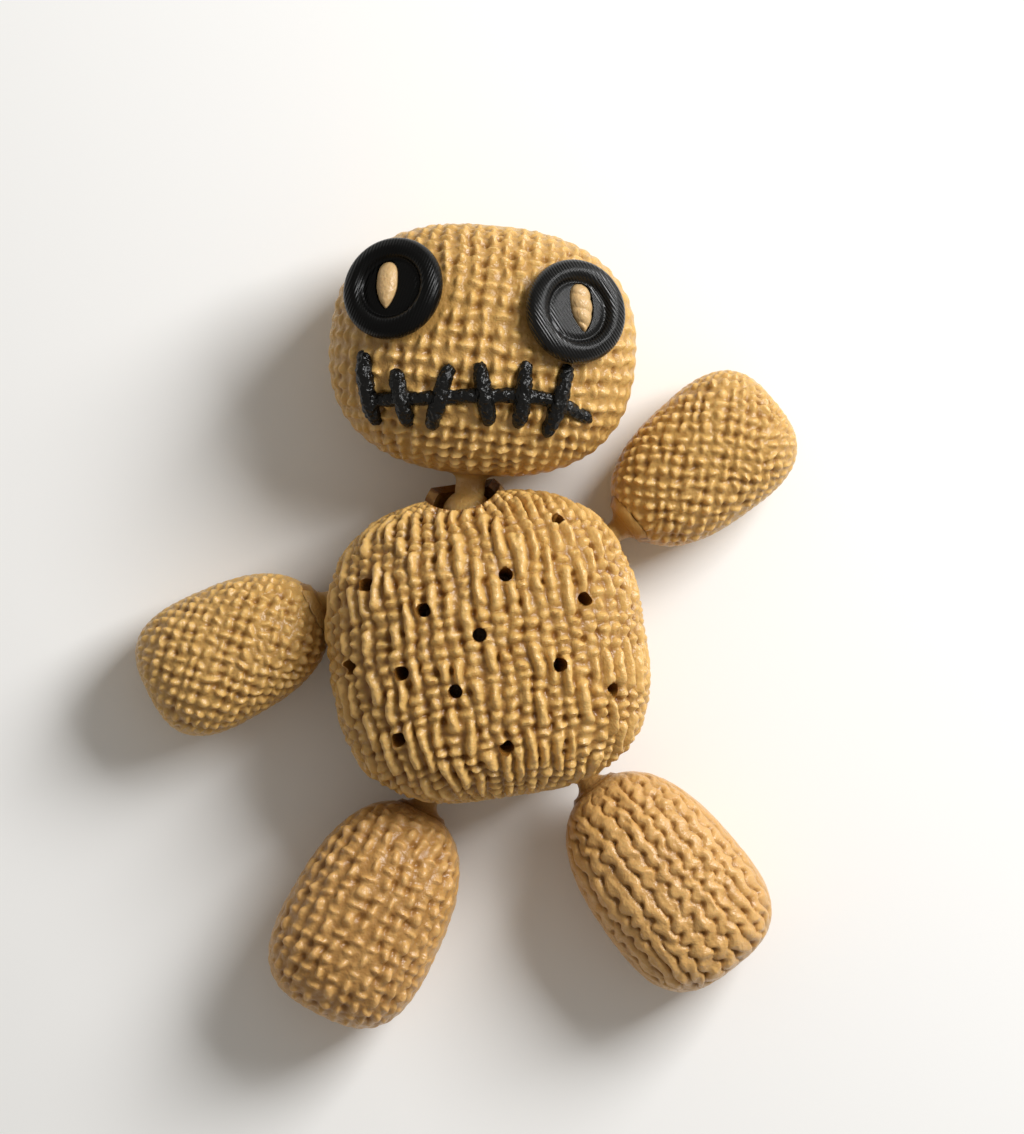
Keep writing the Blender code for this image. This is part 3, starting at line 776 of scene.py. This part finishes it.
def slotOutline():
    halfWidth, halfLength = (half + button["slotGap"] for half in peg["half"])
    steps = 30
    sides = [math.cos(math.pi * step / steps) for step in range(steps + 1)]
    right = [(halfWidth * lensWidth(t), halfLength * t) for t in sides]
    left = [(-x, y) for x, y in right[-2:0:-1]]
    return [(x * mm, y * mm) for x, y in right + left]


def prism(name, outline, low, high):
    count = len(outline)
    vertices = [(x, y, low) for x, y in outline] + [(x, y, high) for x, y in outline]
    faces = [tuple(range(count))[::-1], tuple(range(count, 2 * count))]
    faces += [(k, (k + 1) % count, count + (k + 1) % count, count + k)
              for k in range(count)]
    return edited(meshPiece(name, vertices, faces), outward)


def buttonProfile():
    # dished floor, ring, rolled rim and flat back
    radius, thick = button["radius"], button["thickness"]
    profile = [(0, 2.95), (3.6, 2.95), (4.15, 2.9), (4.45, 2.72), (4.7, 2.72), (4.9, 3.0)]
    profile += arc((radius - 2.0, thick - 1.35), 1.35, 148, 62, 9)
    profile += arc((radius - 1.9, thick - 1.9), 1.9, 52, -20, 12)
    profile += [(radius - 0.35, 0.85), (radius - 0.9, 0.2), (radius - 1.7, 0), (0, 0)]
    return [(x * mm, z * mm) for x, z in profile]


def facing(normal):
    across = Vector((0, 1, 0)).cross(normal).normalized()
    return Matrix((across, normal.cross(across), normal)).transposed().to_4x4()


def pegPiece(name, twisted):
    # bulging lens-shaped peg; the twisted one is creased like a short piece of rope
    halfWidth, halfLength = peg["half"]
    rows, around = peg["steps"]
    rings = []
    for step in range(1, rows):
        t = math.cos(math.pi * step / rows)
        width = halfWidth * lensWidth(t)
        crown = (1 - t * t) ** 0.4
        for turn in np.linspace(0, 2 * math.pi, around, endpoint=False):
            across, up = math.cos(turn), math.sin(turn)
            side = width * math.copysign(abs(across) ** 0.85, across)
            height = peg["middle"] + up * (peg["rise"] * crown if up > 0 else peg["drop"])
            if up > 0 and twisted:
                strand = math.pi * (t * 1.7 + 0.2 + 0.3 * across)
                crease = 1 - abs(math.sin(strand)) ** 0.4
                side *= 1 - 0.1 * crease
                height -= peg["crease"] * crease * up
            rings.append((side * mm, t * halfLength * mm, height * mm))
    level = peg["middle"] * mm
    vertices = rings + [(0, halfLength * mm, level), (0, -halfLength * mm, level)]
    return edited(meshPiece(name, vertices, ringFaces(rows - 1, around)), outward)


mouth = {
    "line": [(-16.4, -9.5), (-9.0, -8.6), (-2.1, -7.7), (3.7, -7.0), (10.5, -6.9),
             (17.7, -9.4)],
    "lineRadius": 1.12, "stitchRadius": 1.34, "sink": 0.2, "lift": 0.8, "dive": 0.3,
    "lineSteps": 60, "stitchSteps": 26, "voxel": 0.16,
    "stitches": [((-18.3, -2.5), (-15.5, -12.8)), ((-12.9, -4.9), (-10.4, -12.6)),
                 ((-4.8, -3.6), (-6.8, -12.7)), ((-0.2, -2.6), (2.1, -11.3)),
                 ((7.0, -2.0), (6.7, -11.3)), ((13.5, -1.7), (11.2, -12.2))],
}


def tube(name, path, radii, around=20):
    # closed round tube along a path of points
    path = [Vector(point) for point in path]
    rings = []
    for index, (point, radius) in enumerate(zip(path, radii)):
        ahead = path[min(index + 1, len(path) - 1)] - path[max(index - 1, 0)]
        across = ahead.cross(Vector((0, 0, 1))).normalized()
        raised = across.cross(ahead).normalized()
        for turn in np.linspace(0, 2 * math.pi, around, endpoint=False):
            spoke = across * math.cos(turn) + raised * math.sin(turn)
            rings.append(point + spoke * radius)
    vertices = rings + [path[0], path[-1]]
    return edited(meshPiece(name, vertices, ringFaces(len(path), around)), outward)


def smoothPath(points, count):
    # even samples of a Catmull-Rom curve through the points
    points = np.array([points[0]] + list(points) + [points[-1]], float)
    samples = []
    for t in np.linspace(0, len(points) - 3, count):
        k = min(int(t), len(points) - 4)
        s = t - k
        before, start, end, after = points[k:k + 4]
        samples.append(0.5 * (2 * start + (end - before) * s
                              + (2 * before - 5 * start + 4 * end - after) * s ** 2
                              + (3 * start - before - 3 * end + after) * s ** 3))
    return samples


def mouthTubes(pillow, middle):
    # the line along the mouth and the stitches that arch over it
    def laid(x, y, lift):
        where, normal = pillow.front(x * mm, y * mm)
        return where + middle + normal * (lift * mm)

    steps, dive = mouth["lineSteps"], mouth["dive"]
    line = [laid(x, y, mouth["sink"]) for x, y in smoothPath(mouth["line"], steps)]
    tapers = [min(1, 0.45 + 0.2 * min(k, steps - 1 - k)) for k in range(steps)]
    tubes = [tube("line", line, [mouth["lineRadius"] * mm * taper for taper in tapers])]
    for top, bottom in mouth["stitches"]:
        path, radii = [], []
        for t in np.linspace(0, 1, mouth["stitchSteps"]):
            x, y = (top[k] + (bottom[k] - top[k]) * t for k in range(2))
            arch = math.sin(math.pi * t) ** 0.6
            path.append(laid(x, y, (mouth["lift"] + dive) * arch - dive))
            radii.append(mouth["stitchRadius"] * mm * (0.72 + 0.28 * arch))
        tubes.append(tube("stitch", path, radii))
    return tubes


def lumpy(piece):
    # raises small lumps of two sizes over the surface
    count = len(piece.data.vertices)
    places, normals = np.zeros(count * 3), np.zeros(count * 3)
    piece.data.vertices.foreach_get("co", places)
    piece.data.vertices.foreach_get("normal", normals)
    places, normals = places.reshape(-1, 3), normals.reshape(-1, 3)
    lumps = np.array([noise.noise(Vector(place) / (0.6 * mm)) * 0.2
                      + noise.noise(Vector(place) / (1.7 * mm)) * 0.22 for place in places])
    places = places + normals * (lumps * mm)[:, None]
    piece.data.vertices.foreach_set("co", places.ravel())


def makeMouth(pillow, middle, material):
    tubes = mouthTubes(pillow, middle)
    piece = tubes[0]
    piece.name = "mouthThread"
    with bpy.context.temp_override(active_object=piece, selected_editable_objects=tubes):
        bpy.ops.object.join()
    remesh = piece.modifiers.new("weld", "REMESH")
    remesh.mode = "VOXEL"
    remesh.voxel_size = mouth["voxel"] * mm
    bake(piece)
    lumpy(piece)
    hang(piece, "head", head["angle"])
    dress(piece, material, "head", "mouth_stitches")


def makeEye(side, pillow, middle, material):
    # a button with its thread peg; gives back the tool for its seat in the head
    where, normal = pillow.front(*(part * mm for part in button["places"][side]))
    sunk = Matrix.Translation(where + middle - normal * (button["sink"] * mm))
    spin = Matrix.Rotation(math.radians(-button["tilt"]), 4, "Z")
    placing = sunk @ facing(normal) @ spin
    seatRadius = (button["radius"] + button["gap"]) * mm
    high, low = 8 * mm, -button["gap"] * mm
    seat = lathe("seat", [(0, high), (seatRadius, high), (seatRadius, low), (0, low)], 96)
    seat.data.transform(placing)

    disc = lathe(side + "Button", buttonProfile(), 128)
    inSlot = Matrix.Translation([part * mm for part in (*peg["places"][side], 0)])
    slot = prism("slot", slotOutline(), -6 * mm, 6 * mm)
    slot.data.transform(inSlot)
    cut(disc, "DIFFERENCE", [slot])
    disc.data.transform(placing)
    hang(disc, "head", head["angle"])
    black = blackPlastic(side + "ButtonBlack", button["lines"][side], button["shine"][side])
    dress(disc, black, "head", side + "_eye_button")

    thread = pegPiece(side + "Peg", side == "right")
    thread.data.transform(placing @ inSlot)
    hang(thread, "head", head["angle"])
    dress(thread, material, "head", side + "_eye_thread")
    return seat


def headPattern(pillow, place, share, along, turns):
    # the weave lies low under the buttons, which also darkens it there with painted groove shade
    woven = boxPattern(headCloth, head["warpPitch"], head["weftPitch"])
    height = woven(pillow, place, share, along, turns)
    level = button["groundLevel"]
    for x, y in button["places"].values():
        away = np.hypot(place[..., 0] - x * mm, place[..., 1] - y * mm)
        beyond = (away - (button["radius"] - 0.9) * mm) / (1.8 * mm)
        height = level + (height - level) * ease(beyond)
    return height


def makeHead(tan, pale, black):
    piece, pillow, middle = hungBody("head", head, neckJoint, headPattern)
    piece.name = "headWoven"
    seats = [makeEye(side, pillow, middle, pale) for side in ("left", "right")]
    # the seats carry no weave value, so the faces they cut take the full painted groove shade
    cut(piece, "DIFFERENCE", seats)
    hang(piece, "head", head["angle"])
    dress(piece, tan, "head", "head")
    makeMouth(pillow, middle, black)


# Arms and legs

arm = {
    "half": (10.6, 15.2, 10.5), "powers": (2.45, 2.95), "section": 2.3, "spread": 0.09,
    "backCut": 2.0, "edgeRelief": 0.15, "relief": 1.15, "pitch": 1.9, "samples": (280, 188),
}
leg = {
    "half": (12.3, 18.0, 12.2), "powers": (2.45, 2.95), "section": 2.3, "spread": 0.09,
    "backCut": 2.0, "edgeRelief": 0.15, "relief": 1.25, "pitch": 2.55, "samples": (312, 208),
}
limbAngles = {"left_arm": 198.4, "right_arm": 30.6, "left_leg": 234.0, "right_leg": -60.5}
limbSwings = {"left_arm": (arm, 28), "right_arm": (arm, 28), "left_leg": (leg, 24),
              "right_leg": (leg, 24)}
armCloth = {
    "wander": 0.26, "vary": 0.16, "base": 0.38, "rough": 0.12, "repeat": (96, 96),
    "slips": 0.14, "offset": 0, "knots": (), "floats": (1,),
    "warp": (0.29, 0.46), "weft": (0.46, 0.29), "knot": 1.0, "slant": 0.35,
    "under": (0.4, 0.4, 0.4), "pits": 0.4,
}
legCloth = {
    "seed": 41, "wander": 0.2, "vary": 0.14, "base": 0.3, "rough": 0.12, "repeat": (96, 96),
    "slips": 0.06, "offset": 0, "knots": (), "floats": (1,),
    "warp": (0.29, 0.5), "weft": (0.46, 0.22), "knot": 0.85, "slant": 0.14,
    "under": (0.42, 0.3, 0.36), "pits": 0.35,
}
ribCloth = {
    "seed": 47, "swing": 0.26, "ribPitch": 2.65, "wave": 3.3, "flanks": (0.5, 0.66),
    "dent": 0.55, "rough": 0.16,
}


def ribPattern(pillow, place, share, along, turns):
    sideways, lengthways = pillow.runs(share, along, turns)
    ribPitch, wave = ribCloth["ribPitch"] * mm, ribCloth["wave"] * mm
    height = zigzagHeight(sideways / ribPitch, lengthways / wave, ribCloth)
    return fadedAtJoint(height, pillow, lengthways)


def armPattern(seed):
    return boxPattern(dict(armCloth, seed=seed), arm["pitch"], arm["pitch"], 45)


def makeLimb(name, shape, pattern, material):
    piece, _, _ = hungBody(name, shape, limbJoint, pattern)
    piece.name = name + "_woven"
    hang(piece, name, limbAngles[name])
    dress(piece, material, name, name)


# the number after True is deep, the share of painted groove shade
tan = tanPlastic("tanPlastic", True)
headTan = tanPlastic("headTan", True, 0.7)
armTan = tanPlastic("armTan", True, 0.75)
legTan = tanPlastic("legTan", True, 0.7, ("legTan", "legPale"))
pale = tanPlastic("plainTan", False)
thread = threadPlastic("blackThread")
makeTorso(limbSwings, tan)
makeHead(headTan, pale, thread)
makeLimb("left_arm", arm, armPattern(31), armTan)
makeLimb("right_arm", arm, armPattern(37), armTan)
makeLimb("left_leg", leg, boxPattern(legCloth, leg["pitch"], leg["pitch"] * 0.94), legTan)
makeLimb("right_leg", leg, ribPattern, legTan)
print("doll made")


# Floor, light and camera

studio = {
    "floor": (0.9, 0.9, 0.89, 1), "floorHalf": 1500, "floorDrop": 0.05,
    "fill": 0.31, "fillColour": (1.0, 0.95, 0.88, 1),
    "key": 5.9, "keySize": 340, "keyPlace": (420, 320, 440),  # right, up the picture, high
    "centre": (5.7, 11.55), "lean": 8.5,  # place and turn of the picture in plan
    "span": 177.2, "distance": 1500, "level": 14,  # the picture is span high at this level
    "sensor": 24, "clip": 10000,
}
turn = math.radians(studio["lean"])
up = Vector((math.sin(turn), math.cos(turn), 0))
right = Vector((math.cos(turn), -math.sin(turn), 0))
high = Vector((0, 0, 1))
look = Vector((*studio["centre"], 0)) * mm


def makeFloor():
    half = studio["floorHalf"] * mm
    corners = [(-half, -half, 0), (half, -half, 0), (half, half, 0), (-half, half, 0)]
    floor = meshPiece("floor", corners, [(0, 1, 2, 3)])
    floor.location.z = -studio["floorDrop"] * mm
    plain = Finish("paleFloor", Roughness=0.9, Base_Color=studio["floor"])
    floor.data.materials.append(plain.material)


def makeLight():
    bpy.context.scene.view_settings.view_transform = "Standard"
    world = bpy.data.worlds.new("studio")
    world.use_nodes = True
    background = world.node_tree.nodes["Background"]
    background.inputs["Color"].default_value = studio["fillColour"]
    background.inputs["Strength"].default_value = studio["fill"]
    bpy.context.scene.world = world

    light = bpy.data.lights.new("key", "AREA")
    light.shape = "SQUARE"
    light.size = studio["keySize"] * mm
    light.energy = studio["key"]
    key = bpy.data.objects.new("key", light)
    bpy.context.scene.collection.objects.link(key)
    aside, upwards, above = (part * mm for part in studio["keyPlace"])
    key.location = look + right * aside + up * upwards + high * above
    key.rotation_euler = (look - key.location).to_track_quat("-Z", "Y").to_euler()


def makeCamera():
    camera = bpy.data.cameras.new("camera")
    camera.sensor_fit = "VERTICAL"
    camera.sensor_height = studio["sensor"]
    camera.lens = studio["sensor"] * studio["distance"] / studio["span"]
    camera.clip_end = studio["clip"] * mm
    eye = bpy.data.objects.new("camera", camera)
    bpy.context.scene.collection.objects.link(eye)
    place = look + high * ((studio["distance"] + studio["level"]) * mm)
    eye.matrix_world = Matrix.Translation(place) @ Matrix((right, up, high)).transposed().to_4x4()
    bpy.context.scene.camera = eye


makeFloor()
makeLight()
makeCamera()
print("studio made")
bpy.context.view_layer.update()
print("scene ready")
